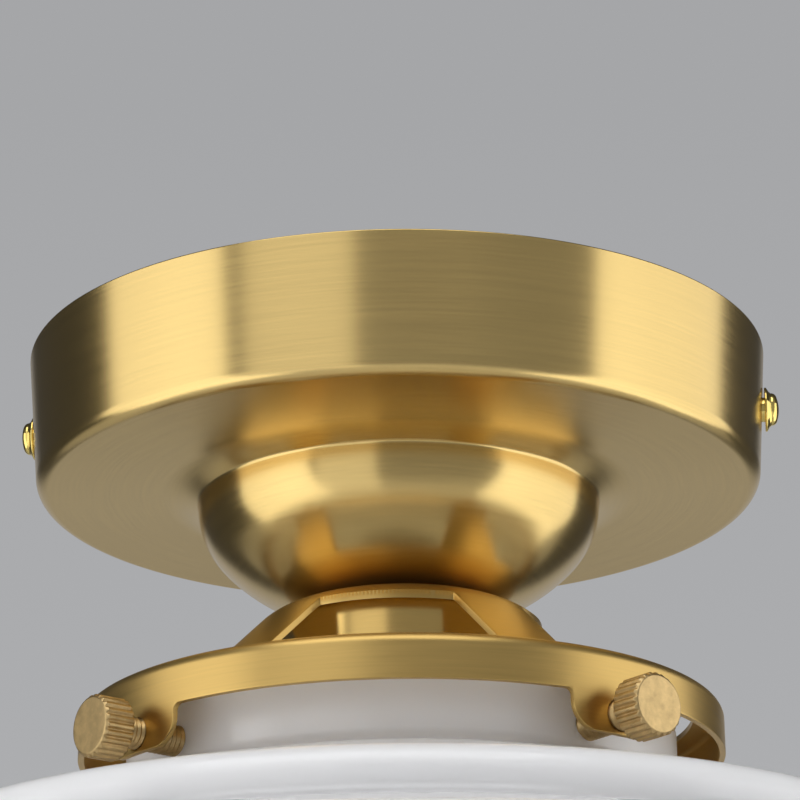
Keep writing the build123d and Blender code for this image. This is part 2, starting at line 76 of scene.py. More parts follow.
def angle(name, description, degrees):
    """Angle property whose default is given in degrees."""
    return FloatProperty(
        name=name, description=description, default=radians(degrees), subtype="ANGLE", unit="ROTATION"
    )


def amount(name, description, value, unit="NONE"):
    """Plain number, or a power in watts."""
    return FloatProperty(name=name, description=description, default=value, unit=unit)


def colour(name, description, value):
    """Linear colour without alpha."""
    return FloatVectorProperty(
        name=name, description=description, default=value, min=0.0, max=1.0, size=3, subtype="COLOR"
    )


def count(name, description, value):
    """Whole number of things or steps."""
    return IntProperty(name=name, description=description, default=value, min=1)


class CanopySizes(bpy.types.PropertyGroup):
    """Sizes of the spun canopy."""

    radius: length("Rim radius", "Outer radius of the rim at the ceiling", 60.0)
    depth: length("Depth", "From the rim down to the flat underside", 22.2)
    draft: angle("Draft", "How far the wall leans in towards the underside", 3.9)
    sheet: length("Sheet", "Thickness of the brass sheet", 1.0)
    corner: length("Corner radius", "Between wall and underside", 2.2)
    flare_radius: length("Flare radius", "Concave arc between underside and neck", 13.5)
    flare_turn: angle("Flare turn", "How far the flare turns down", 25.0)
    throat_radius: length("Throat radius", "Tight concave arc above the round neck", 0.7)
    neck_radius: length("Neck radius", "Largest radius of the round neck", 32.4)
    side_radius: length("Neck side radius", "Upper arc of the round neck", 13.2)
    side_turn: angle("Neck side turn", "How far the upper arc turns in", 43.0)
    seat_radius: length("Seat radius", "Flat seat below the neck for the gallery", 8.4)
    hole_radius: length("Centre hole", "Radius of the hole for the nipple", 5.2)
    screw_hole: length("Screw hole", "Radius of the two side holes", 2.4)
    screw_drop: length("Screw level", "From the rim down to the side holes", 9.5)
    edge: length("Edge rounding", "Rounding of the sheet's cut edges", 0.22)
    steps: count("Steps around", "Segments around the axis", 192)


class GallerySizes(bpy.types.PropertyGroup):
    """Sizes of the stamped gallery."""

    turn: angle("Turn", "Direction of the back right arm from the bracket", 43.9)
    sheet: length("Sheet", "Thickness of the brass sheet", 1.0)
    hub_flat: length("Hub flat", "Radius where the flat hub ends", 15.8)
    shoulder: length("Shoulder radius", "Convex arc from hub to arms", 10.5)
    slope: angle("Arm slope", "Slope of the arms below level", 43.8)
    drop: length("Arm drop", "From the hub's top down to the flange's top", 17.3)
    foot: length("Foot radius", "Concave arc from arms to flange", 8.0)
    band_radius: length("Band radius", "Outer radius of the band", 51.0)
    bend: length("Band bend", "Radius between flange and band", 1.8)
    band: length("Band height", "From the flange's top to the band's lower edge", 7.2)
    ear_width: length("Ear width", "Width of each ear", 16.9)
    ear_height: length("Ear height", "From the band's lower edge to the ear's end", 5.95)
    ear_corner: length("Ear corner", "Radius of the ears' lower corners", 4.2)
    ear_root: length("Ear root", "Fillet between band and ear", 1.0)
    arm_width: length("Arm width", "Width of each arm seen from below", 13.7)
    window_inner: length("Window start", "Radius where the windows start", 22.7)
    window_outer: length("Window end", "Radius where the windows end", 46.2)
    window_corner: length("Window corner", "Radius of the windows' corners", 4.5)
    edge: length("Edge rounding", "Rounding of the cut edges", 0.16)
    support: length("Support strip", "Narrow strip of faces above the ears", 0.4)
    steps: count("Steps around", "Segments around the axis", 240)


class ScrewSizes(bpy.types.PropertyGroup):
    """Sizes of canopy screws and thumbscrews."""

    cap_flange: length("Canopy screw flange", "Radius of the dished flange", 3.6)
    cap_bore: length("Canopy screw bore", "Radius of the cap's blind hole", 2.05)
    cap_rim: length("Canopy screw rim", "Thickness of the flange's rim", 0.4)
    cap_slope: angle("Canopy screw slope", "Slope of the flange's face up to the dome", 30.0)
    cap_dome: length("Canopy screw dome", "Radius of the domed cap", 2.65)
    cap_shoulder: length("Canopy screw shoulder", "Radius of the dome's shoulder", 0.9)
    cap_height: length("Canopy screw height", "From the canopy's wall to the crown", 2.3)
    thumb_radius: length("Thumb head radius", "Radius over the flutes", 4.75)
    thumb_length: length("Thumb head length", "Length of the head", 5.0)
    thumb_chamfer: length("Thumb head chamfer", "Chamfer round the face", 0.5)
    flute_depth: length("Flute depth", "Depth of the grip's flutes", 0.34)
    flutes: count("Flutes", "Grooves around each head", 24)
    stud_radius: length("Stud radius", "Radius over the stud's thread", 2.4)
    stud_length: length("Stud length", "Length of the threaded stud", 13.8)
    pitch: length("Stud pitch", "Rise of the stud's thread in one turn", 0.8)
    stud_level: length("Stud level", "From the ceiling down to the studs", 69.495)


class ShadeSizes(bpy.types.PropertyGroup):
    """Sizes of the opal glass shade."""

    glass: length("Glass", "Thickness of the glass", 3.2)
    neck_radius: length("Neck radius", "Outer radius of the neck", 43.4)
    top: length("Top level", "From the ceiling down to the neck's rim", 62.195)
    neck_height: length("Neck height", "From the rim to the first slope", 11.4)
    slope: angle("Slope", "Slope of the steps", 15.4)
    step_1_radius: length("First step radius", "Radius of the first step's edge", 85.0)
    step_1_height: length("First step height", "Height of the first step's face", 6.8)
    step_2_radius: length("Second step radius", "Radius of the second step's edge", 106.5)
    step_2_height: length("Second step height", "Height of the second step's face", 7.6)
    belly_radius: length("Belly radius", "Largest radius", 122.0)
    belly_height: length("Belly height", "From the belly's top edge to where it draws in", 40.0)
    base_radius: length("Base radius", "Radius of the closed base before rounding", 88.0)
    height: length("Height", "From the rim down to the base", 134.0)
    lean: length("Face lean", "How far each step's face leans out", 0.4)
    hollow: length("Hollow radius", "Rounding at the foot of the neck and of each step", 2.5)
    step_round: length("Step rounding", "Rounding of each step's edge", 4.0)
    belly_round: length("Belly rounding", "Rounding of the belly's top edge", 8.0)
    belly_curve: length("Belly curve", "Large radius where the belly draws in", 60.0)
    base_round: length("Base rounding", "Radius between belly and base", 26.0)
    steps: count("Steps around", "Segments around the axis", 192)


class SocketSizes(bpy.types.PropertyGroup):
    """Sizes of the socket cup and the bulb."""

    cup_radius: length("Cup radius", "Outer radius of the socket cup", 20.0)
    cup_top: length("Cup level", "From the ceiling down to the cup's top", 43.795)
    cup_height: length("Cup height", "Height of the cup", 44.0)
    cup_corner: length("Cup corner", "Radius of the cup's shoulder", 2.0)
    cup_sheet: length("Cup sheet", "Thickness of the cup", 0.7)
    cup_hole: length("Cup hole", "Radius of the hole for the nipple", 5.2)
    thread: length("Bulb thread radius", "Radius over the bulb's rounded thread", 13.05)
    thread_pitch: length("Bulb thread pitch", "Rise of the bulb's thread in one turn", 3.629)
    bulb_radius: length("Bulb radius", "Radius of the bulb's ball", 30.0)
    bulb_length: length("Bulb length", "From the cap's edge to the bulb's end", 82.0)
    bulb_flare: angle("Bulb flare", "Turn of the curve between stem and ball", 50.0)


class Colours(bpy.types.PropertyGroup):
    """Colours of the finishes."""

    spun_brass: colour("Spun brass", "Canopy", (0.70, 0.51, 0.20))
    stamped_brass: colour("Stamped brass", "Gallery and socket cup", (0.62, 0.42, 0.14))
    polished_brass: colour("Polished brass", "Canopy screws", (0.86, 0.66, 0.20))
    turned_brass: colour("Turned brass", "Thumbscrews", (0.60, 0.43, 0.20))
    fittings_brass: colour("Fittings brass", "Terminals and clamps", (0.68, 0.53, 0.26))
    nickel: colour("Nickel", "Screw shell and bulb cap", (0.66, 0.64, 0.58))
    zinc: colour("Zinc", "Steel parts", (0.60, 0.61, 0.62))
    opal: colour("Opal glass", "Shade", (0.95, 0.952, 0.955))
    frosted: colour("Frosted glass", "Bulb", (0.90, 0.90, 0.87))
    porcelain: colour("Porcelain", "Socket body", (0.86, 0.84, 0.79))
    nylon: colour("Nylon", "Terminal block", (0.80, 0.79, 0.74))
    brown: colour("Live sleeve", "Live lead", (0.16, 0.055, 0.02))
    blue: colour("Neutral sleeve", "Neutral lead", (0.02, 0.10, 0.38))
    green: colour("Earth sleeve", "Earth lead's ground colour", (0.05, 0.28, 0.05))
    yellow: colour("Earth stripe", "Earth lead's stripe", (0.80, 0.62, 0.03))
    black: colour("Black", "Bush and insulator", (0.015, 0.015, 0.016))


class StudioSettings(bpy.types.PropertyGroup):
    """Camera, lights and backdrop."""

    azimuth: angle("Camera azimuth", "Camera's place around the lamp, from the front towards the right", 4.71)
    distance: length("Camera distance", "Level distance from the lamp's axis", 539.6)
    drop: length("Camera level", "How far the camera is below the ceiling", 202.8)
    pitch: angle("Camera pitch", "How far the camera looks up", 20.11)
    roll: angle("Camera roll", "Turn of the picture", -0.699)
    focal: amount("Focal length", "In pixels of the square picture", 3505.0)
    centre_x: amount("Picture centre", "Where the camera's axis meets the picture", 397.4)
    floor: length("Floor level", "How far the floor is below the ceiling", 1800.0)
    backdrop: colour("Backdrop", "Grey behind the lamp", (0.385, 0.389, 0.400))
    floor_colour: colour("Floor colour", "Pale floor", (0.70, 0.70, 0.71))
    left: amount("Left light", "Power of the left softbox", 12.9, "POWER")
    front: amount("Front light", "Power of the front left softbox", 4.7, "POWER")
    right: amount("Right light", "Power of the right softbox", 16.7, "POWER")
    low: amount("Low light", "Power of the softbox in front and below", 1.4, "POWER")
    top: amount("Top light", "Power of the softbox above", 9.0, "POWER")
    fill: amount("Room fill", "Extra room light on matt surfaces", 1.0)


# Softboxes: azimuth from the camera and elevation in degrees, distance, width and height in metres
SOFTBOXES = {
    "left": (-74.5, -17.0, 1.3, 1.23, 2.42),
    "front": (-29.0, 0.0, 1.4, 0.85, 2.8),
    "right": (89.5, -17.0, 1.3, 1.6, 2.42),
    "low": (18.0, -55.0, 1.4, 1.5, 1.2),
    "top": (-10.0, 62.0, 1.5, 1.6, 1.0),
}
# Room's strength, from the camera's side at 0 to the backdrop at 1
ROOM = ((0.0, 0.75), (0.3, 0.7), (0.5, 0.3), (0.62, 0.14), (0.925, 0.14), (0.965, 1.0))


# Mesh helpers
def everything(mesh):
    """All corners, edges and faces."""
    return mesh.verts[:] + mesh.edges[:] + mesh.faces[:]


def close_rims(mesh):
    """Fills every open rim and turns the faces outwards."""
    rims = [e for e in mesh.edges if e.is_boundary]
    bmesh.ops.holes_fill(mesh, edges=rims, sides=0)
    bmesh.ops.recalc_face_normals(mesh, faces=mesh.faces[:])
    return mesh


class Outline:
    """Wire in the XZ plane that grows from its tip by straight runs and arcs."""

    def __init__(self, x, z, heading):
        self.mesh = bmesh.new()
        self.tip = self.mesh.verts.new((x, 0, z))
        self.heading = heading

    def run(self, distance, steps=1):
        """Straight run along the heading."""
        for _ in range(steps):
            self.tip = bmesh.ops.extrude_vert_indiv(self.mesh, verts=[self.tip])["verts"][0]
            self.tip.co += Vector((cos(self.heading), 0, sin(self.heading))) * (distance / steps)
        return self

    def arc(self, radius, turn, steps=8):
        """Arc that turns left for a positive turn and right for a negative one."""
        side = 1 if turn > 0 else -1
        left = Vector((-sin(self.heading), 0, cos(self.heading)))
        centre = self.tip.co + left * (side * radius)
        made = bmesh.ops.spin(
            self.mesh, geom=[self.tip], cent=centre, axis=(0, -1, 0), angle=turn, steps=steps
        )
        self.tip = [item for item in made["geom_last"] if isinstance(item, bmesh.types.BMVert)][0]
        self.heading += turn
        return self

    def follow(self, moves):
        """Runs and arcs from a list of (distance,) and (radius, turn, steps)."""
        for move in moves:
            if len(move) == 1:
                self.run(move[0])
            else:
                self.arc(*move)
        return self

    def revolve(self, steps):
        """Closed surface made by turning the wire about Z."""
        mesh = self.mesh
        bmesh.ops.remove_doubles(mesh, verts=mesh.verts[:], dist=1e-7)
        bmesh.ops.spin(
            mesh,
            geom=everything(mesh),
            cent=(0, 0, 0),
            axis=(0, 0, 1),
            angle=2 * pi,
            steps=steps,
            use_merge=True,
        )
        bmesh.ops.remove_doubles(mesh, verts=mesh.verts[:], dist=1e-7)
        bmesh.ops.recalc_face_normals(mesh, faces=mesh.faces[:])
        return mesh


def sheet_outline(x, z, heading, moves, thickness, edge, closed_start=True, closed_end=True):
    """Both skins of a bent sheet whose left skin follows the moves and whose wall lies to the right."""
    outline = Outline(x, z, heading)
    moves = [list(move) for move in moves]
    if closed_start:
        outline.tip.co += Vector((cos(heading), 0, sin(heading))) * edge
        moves[0][0] -= edge
    if closed_end:
        moves[-1][0] -= edge
    outline.follow(moves)
    if closed_end:
        outline.arc(edge, -pi / 2, 3).run(thickness - 2 * edge).arc(edge, -pi / 2, 3)
    else:
        inner = outline.tip.co + Vector((sin(outline.heading), 0, -cos(outline.heading))) * thickness
        outline.tip = outline.mesh.verts.new(inner)
        outline.heading += pi
    for move in reversed(moves):
        if len(move) == 1:
            outline.run(move[0])
        else:
            radius, turn, steps = move
            outline.arc(radius - thickness if turn < 0 else radius + thickness, -turn, steps)
    if closed_start:
        outline.arc(edge, -pi / 2, 3).run(thickness - 2 * edge).arc(edge, -pi / 2, 3)
    return outline


def make_piece(name, mesh, body, slot, *nodes, finish=None):
    """Object from a bmesh, riding on a body, with its slot's or another finish and its CAD nodes."""
    data = bpy.data.meshes.new(name)
    mesh.to_mesh(data)
    mesh.free()
    data.shade_smooth()
    piece = bpy.data.objects.new(name, data)
    bpy.context.scene.collection.objects.link(piece)
    data.materials.append(FINISHES[finish or slot])
    weighted = piece.modifiers.new("even_normals", "WEIGHTED_NORMAL")
    weighted.keep_sharp = True
    weighted.weight = 80
    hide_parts(*nodes)
    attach(piece, body)
    return piece


def cut(mesh, *cutters):
    """The mesh with other closed meshes cut out of it."""
    target = bpy.data.objects.new("blank", bpy.data.meshes.new("blank"))
    mesh.to_mesh(target.data)
    mesh.free()
    bpy.context.scene.collection.objects.link(target)
    tools = []
    for cutter in cutters:
        tool = bpy.data.objects.new("cutter", bpy.data.meshes.new("cutter"))
        bmesh.ops.recalc_face_normals(cutter, faces=cutter.faces[:])
        cutter.to_mesh(tool.data)
        cutter.free()
        bpy.context.scene.collection.objects.link(tool)
        step = target.modifiers.new("cut", "BOOLEAN")
        step.operation = "DIFFERENCE"
        step.solver = "EXACT"
        step.object = tool
        tools.append(tool)
    graph = bpy.context.evaluated_depsgraph_get()
    done = bmesh.new()
    done.from_mesh(target.evaluated_get(graph).to_mesh())
    for item in [target, *tools]:
        data = item.data
        bpy.data.objects.remove(item)
        bpy.data.meshes.remove(data)
    bmesh.ops.remove_doubles(done, verts=done.verts[:], dist=1e-5)
    bmesh.ops.dissolve_degenerate(done, dist=1e-5, edges=done.edges[:])
    return round_edges(done, 0.0001, radians(50))


def round_edges(mesh, width, least):
    """Rounds the edges whose faces turn by more than the least angle."""
    sharp = [e for e in mesh.edges if len(e.link_faces) == 2 and e.calc_face_angle() > least]
    bmesh.ops.bevel(
        mesh,
        geom=sharp,
        offset=width,
        offset_type="OFFSET",
        affect="EDGES",
        segments=2,
        profile=0.5,
        material=-1,
        clamp_overlap=False,
    )
    bmesh.ops.remove_doubles(mesh, verts=mesh.verts[:], dist=2e-6)
    bmesh.ops.dissolve_degenerate(mesh, dist=2e-6, edges=mesh.edges[:])
    return mesh


def turn_and_place(mesh, *steps):
    """Applies matrices one after another to the whole mesh."""
    for matrix in steps:
        bmesh.ops.transform(mesh, matrix=matrix, verts=mesh.verts[:])
    return mesh


def cylinder(radius, depth, segments=64):
    """Closed cylinder about Z, centred on the origin."""
    mesh = bmesh.new()
    bmesh.ops.create_cone(
        mesh, cap_ends=True, segments=segments, radius1=radius, radius2=radius, depth=depth
    )
    return mesh


def along_x(around_z, distance, height):
    """Matrices that lay a piece along X at a distance and height, then turn it about the lamp's axis."""
    return (
        Matrix.Rotation(pi / 2, 4, "Y"),
        Matrix.Translation((distance, 0, height)),
        Matrix.Rotation(around_z, 4, "Z"),
    )


def sweep_thread(mesh, pitch, span, steps):
    """Closed rod from 0 to span, swept from the wire of a thread along its helix."""
    bmesh.ops.spin(
        mesh,
        geom=everything(mesh),
        cent=(0, 0, 0),
        axis=(0, 0, 1),
        dvec=(0, 0, -pitch / steps),
        angle=2 * pi,
        steps=steps,
    )
    bmesh.ops.remove_doubles(mesh, verts=mesh.verts[:], dist=1e-6)
    for height, normal in ((span, (0, 0, 1)), (0.0, (0, 0, -1))):
        bmesh.ops.bisect_plane(
            mesh, geom=everything(mesh), plane_co=(0, 0, height), plane_no=normal, clear_outer=True
        )
    return close_rims(mesh)


def threaded_rod(radius, pitch, span):
    """Rod about Z from 0 to span with a raised helical thread."""
    depth = pitch * 0.45
    half = pitch * 0.4
    crest, root = pitch * 0.12, pitch * 0.08
    outline = Outline(radius - depth, -pitch, pi / 2)
    flank = hypot(depth, half)
    rise = pi / 2 - atan(depth / half)
    for _ in range(int(span / pitch) + 3):
        for heading, distance in ((rise, flank), (pi / 2, crest), (pi - rise, flank), (pi / 2, root)):
            outline.heading = heading
            outline.run(distance)
    return sweep_thread(outline.mesh, pitch, span, 40)


# Node helpers
class NodeTree:
    """Node tree whose nodes are added and joined by short calls."""

    def __init__(self, tree):
        self.tree = tree
        self.nodes = tree.nodes

    def add(self, kind, **settings):
        """New node with its settings."""
        node = self.nodes.new(kind)
        for key, value in settings.items():
            setattr(node, key, value)
        return node

    def join(self, output, socket):
        """Joins an output, or sets a value, on a socket."""
        if isinstance(output, bpy.types.NodeSocket):
            self.tree.links.new(output, socket)
        else:
            socket.default_value = output

    def number(self, operation, *values):
        """Result of a Math node."""
        node = self.add("ShaderNodeMath", operation=operation)
        for value, socket in zip(values, node.inputs):
            self.join(value, socket)
        return node.outputs[0]

    def vector(self, operation, *values):
        """Result of a Vector Math node."""
        node = self.add("ShaderNodeVectorMath", operation=operation)
        for value, socket in zip(values, node.inputs):
            self.join(value, socket)
        return node.outputs["Value"] if operation in ("LENGTH", "DOT_PRODUCT") else node.outputs["Vector"]

    def scaled(self, value, size):
        """Vector times a number."""
        node = self.add("ShaderNodeVectorMath", operation="SCALE")
        self.join(value, node.inputs[0])
        self.join(size, node.inputs["Scale"])
        return node.outputs["Vector"]

    def height(self, place):
        """Z of a vector."""
        node = self.add("ShaderNodeSeparateXYZ")
        self.join(place, node.inputs[0])
        return node.outputs["Z"]

    def spread(self, value, low, high, to_low, to_high):
        """Value moved from one range to another and held in it."""
        node = self.add("ShaderNodeMapRange")
        for key, setting in zip(("From Min", "From Max", "To Min", "To Max"), (low, high, to_low, to_high)):
            node.inputs[key].default_value = setting
        self.join(value, node.inputs["Value"])
        return node.outputs["Result"]


class Finish(NodeTree):
    """Material whose shader is fed by procedural nodes."""

    def __init__(self, name):
        self.material = bpy.data.materials.new(name)
        self.material.use_nodes = True
        super().__init__(self.material.node_tree)
        self.shader = self.nodes["Principled BSDF"]
        self.coordinates = self.add("ShaderNodeTexCoord").outputs["Object"]

    def noise(self, scale, detail=3.0, vector=None, roughness=0.55, distortion=0.0, fourth=None):
        """Noise between 0 and 1, in three dimensions or with a fourth."""
        node = self.add("ShaderNodeTexNoise", noise_dimensions="3D" if fourth is None else "4D")
        for key, value in (
            ("Scale", scale), ("Detail", detail), ("Roughness", roughness), ("Distortion", distortion)
        ):
            node.inputs[key].default_value = value
        self.join(vector or self.coordinates, node.inputs["Vector"])
        if fourth is not None:
            self.join(fourth, node.inputs["W"])
        return node.outputs["Fac"]

    def blend(self, value, first, second):
        """Colour between two colours."""
        node = self.add("ShaderNodeMix", data_type="RGBA")
        self.join(value, node.inputs["Factor"])
        for entry, socket in ((first, node.inputs["A"]), (second, node.inputs["B"])):
            self.join((*entry, 1.0) if not isinstance(entry, bpy.types.NodeSocket) else entry, socket)
        return node.outputs["Result"]

    def bump(self, height, distance, strength=1.0):
        """Bump of a height given as 0 to 1 over a distance in metres."""
        node = self.add("ShaderNodeBump")
        node.inputs["Strength"].default_value = strength
        node.inputs["Distance"].default_value = distance
        self.join(height, node.inputs["Height"])
        self.join(node.outputs["Normal"], self.shader.inputs["Normal"])

    def set(self, **values):
        """Values and outputs for the shader's sockets."""
        for key, value in values.items():
            socket = self.shader.inputs[key.replace("_", " ")]
            if isinstance(value, tuple) and len(value) == 3 and socket.type == "RGBA":
                value = (*value, 1.0)
            self.join(value, socket)
        return self


def shade_of(rgb, amount):
    """Colour made darker or lighter by a factor."""
    return tuple(min(1.0, part * amount) for part in rgb)


def ring_grain(finish, across, along):
    """Fine streaks that run around the lamp's axis, and the direction across them."""
    place = finish.coordinates
    flat = finish.vector("MULTIPLY", place, (1.0, 1.0, 0.0))
    radius = finish.vector("LENGTH", flat)
    around = finish.vector("NORMALIZE", flat)
    level = finish.add("ShaderNodeCombineXYZ")
    finish.join(finish.number("MULTIPLY", finish.height(place), across), level.inputs["Z"])
    spot = finish.vector("ADD", finish.scaled(around, along), level.outputs[0])
    streaks = finish.noise(1.0, 3.0, spot, 0.65, fourth=finish.number("MULTIPLY", radius, across))
    geometry = finish.add("ShaderNodeNewGeometry")
    turned = finish.vector("CROSS_PRODUCT", (0.0, 0.0, 1.0), around)
    return streaks, finish.vector("CROSS_PRODUCT", geometry.outputs["Normal"], turned)


def brushed_brass(name, rgb, roughness, anisotropic, grain=2600.0):
    """Brass brushed around the lamp's axis."""
    finish = Finish(name)
    streaks, tangent = ring_grain(finish, grain, 3.0)
    clouds = finish.noise(45.0, 2.0)
    tone = finish.spread(streaks, 0.25, 0.75, 0.0, 1.0)
    base = finish.blend(tone, shade_of(rgb, 0.92), shade_of(rgb, 1.05))
    base = finish.blend(finish.spread(clouds, 0.3, 0.7, 0.0, 0.1), base, shade_of(rgb, 0.85))
    rough = finish.spread(streaks, 0.25, 0.75, roughness * 0.9, roughness * 1.12)
    finish.set(Base_Color=base, Metallic=1.0, Roughness=rough, Anisotropic=anisotropic, Tangent=tangent)
    finish.bump(streaks, 0.000006, 0.35)
    return finish.material


def mottled_metal(name, rgb, roughness, scale=900.0, depth=0.00001, amount=0.15):
    """Metal with a cloudy tone and a slightly uneven surface."""
    finish = Finish(name)
    clouds = finish.noise(scale, 4.0)
    fine = finish.noise(scale * 6, 2.0)
    tone = finish.spread(clouds, 0.3, 0.7, 0.0, 1.0)
    base = finish.blend(tone, shade_of(rgb, 1.0 - amount), shade_of(rgb, 1.0 + amount * 0.6))
    rough = finish.spread(fine, 0.3, 0.7, roughness * 0.85, roughness * 1.2)
    finish.set(Base_Color=base, Metallic=1.0, Roughness=rough)
    finish.bump(fine, depth, 0.5)
    return finish.material


def moulded(name, rgb, roughness, scale=700.0, depth=0.00001, gloss=0.0):
    """Plastic, glaze or enamel with a faint tone and an orange peel."""
    finish = Finish(name)
    peel = finish.noise(scale, 2.0)
    tone = finish.noise(scale / 8, 3.0)
    base = finish.blend(finish.spread(tone, 0.3, 0.7, 0.0, 1.0), shade_of(rgb, 0.94), rgb)
    rough = finish.spread(peel, 0.3, 0.7, roughness * 0.85, roughness * 1.15)
    finish.set(Base_Color=base, Roughness=rough, Coat_Weight=gloss, Coat_Roughness=0.05)
    finish.bump(peel, depth, 0.4)
    return finish.material


def opal_glass(name, rgb):
    """White opal glass: a soft milky body under a glossy skin."""
    finish = Finish(name)
    swirl = finish.noise(14.0, 3.0, distortion=0.6)
    ripple = finish.noise(60.0, 2.0)
    base = finish.blend(finish.spread(swirl, 0.35, 0.65, 0.0, 1.0), shade_of(rgb, 0.975), rgb)
    finish.set(
        Base_Color=base,
        Roughness=0.18,
        IOR=1.5,
        Subsurface_Weight=0.9,
        Subsurface_Radius=(0.02, 0.02, 0.0196),
        Subsurface_Scale=1.0,
        Coat_Weight=0.0,
    )
    finish.bump(ripple, 0.00004, 0.25)
    return finish.material


def striped_sleeve(name, ground, stripe):
    """Green insulation with yellow stripes."""
    finish = Finish(name)
    wave = finish.add("ShaderNodeTexWave", wave_type="BANDS", bands_direction="X")
    wave.inputs["Scale"].default_value = 180.0
    wave.inputs["Distortion"].default_value = 0.0
    finish.join(finish.coordinates, wave.inputs["Vector"])
    tone = finish.spread(wave.outputs["Fac"], 0.45, 0.55, 0.0, 1.0)
    finish.set(Base_Color=finish.blend(tone, ground, stripe), Roughness=0.4)
    finish.bump(finish.noise(900.0), 0.00001, 0.3)
    return finish.material


class StagePiece(bpy.types.Operator):
    """Sets the camera, the soft lights, the floor and the grey backdrop"""

    bl_idname = "ceiling_light.stage"
    bl_label = "Studio"

    def execute(self, context):
        studio = context.scene.light_studio
        turn = studio.azimuth
        right = Vector((cos(turn), sin(turn), 0))
        level = Vector((-sin(turn), cos(turn), 0))
        forward = level * cos(studio.pitch) + Vector((0, 0, sin(studio.pitch)))
        up = Vector((0, 0, cos(studio.pitch))) - level * sin(studio.pitch)
        across = right * cos(studio.roll) + up * sin(studio.roll)
        upright = up * cos(studio.roll) - right * sin(studio.roll)
        camera = bpy.data.objects.new("camera", bpy.data.cameras.new("camera"))
        context.scene.collection.objects.link(camera)
        axes = Matrix((across, upright, -forward)).transposed().to_4x4()
        place = -level * studio.distance - Vector((0, 0, studio.drop))
        camera.matrix_world = Matrix.Translation(place) @ axes
        camera.data.sensor_width = 36.0
        camera.data.lens = 36.0 * studio.focal / 800
        camera.data.shift_x = (400 - studio.centre_x) / 800
        camera.data.clip_start = 0.01
        context.scene.camera = camera
        context.scene.view_settings.view_transform = "Standard"

        for name, place in SOFTBOXES.items():
            self.light(name + "_softbox", getattr(studio, name), turn, *place)
        self.floor(context, studio)
        self.world(context, studio, level)
        return {"FINISHED"}

    def light(self, name, power, turn, azimuth, elevation, distance, width, height):
        """Soft rectangular light aimed at the lamp from an azimuth and elevation seen from the camera."""
        data = bpy.data.lights.new(name, "AREA")
        data.shape = "RECTANGLE"
        data.size, data.size_y = width, height
        data.energy = power
        lamp = bpy.data.objects.new(name, data)
        bpy.context.scene.collection.objects.link(lamp)
        around = turn + radians(azimuth)
        rise = radians(elevation)
        toward = Vector((sin(around) * cos(rise), -cos(around) * cos(rise), sin(rise)))
        target = Vector((0, 0, -0.05))
        lamp.matrix_world = Matrix.Translation(target + toward * distance) @ toward.to_track_quat(
            "Z", "Y"
        ).to_matrix().to_4x4()

    def floor(self, context, studio):
        """Large pale floor below the lamp."""
        mesh = bmesh.new()
        bmesh.ops.create_grid(mesh, x_segments=1, y_segments=1, size=3.0)
        turn_and_place(mesh, Matrix.Translation((0, 0, -studio.floor)))
        data = bpy.data.meshes.new("floor")
        mesh.to_mesh(data)
        mesh.free()
        floor = bpy.data.objects.new("floor", data)
        context.scene.collection.objects.link(floor)
        finish = Finish("floor_paper")
        grain = finish.noise(900.0, 2.0)
        rgb = tuple(studio.floor_colour)
        finish.set(Base_Color=finish.blend(grain, shade_of(rgb, 0.98), rgb), Roughness=0.9)
        data.materials.append(finish.material)

    def world(self, context, studio, level):
        """Grey backdrop behind, darker room in front."""
        world = bpy.data.worlds.new("studio")
        context.scene.world = world
        world.use_nodes = True
        tree = NodeTree(world.node_tree)
        background = tree.nodes["Background"].inputs
        place = tree.add("ShaderNodeTexCoord").outputs["Generated"]
        ramp = tree.add("ShaderNodeValToRGB")
        away = tree.vector("DOT_PRODUCT", place, level)
        tree.join(tree.spread(away, -1.0, 1.0, 0.0, 1.0), ramp.inputs["Fac"])
        ramp.color_ramp.interpolation = "EASE"
        for _ in ROOM[2:]:
            ramp.color_ramp.elements.new(0.5)
        for element, (spot, strength) in zip(ramp.color_ramp.elements, ROOM):
            element.position = spot
            element.color = (strength, strength, strength, 1.0)
        rays = tree.add("ShaderNodeLightPath").outputs
        seen = tree.number("MAXIMUM", ramp.outputs["Color"], rays["Is Camera Ray"])
        soft = tree.number("MULTIPLY_ADD", rays["Is Diffuse Ray"], studio.fill, seen)
        lift = tree.spread(tree.height(place), 0.2, 0.42, 1.1, 0.98)
        tree.join(tree.scaled(tuple(studio.backdrop), lift), background["Color"])
        tree.join(soft, background["Strength"])


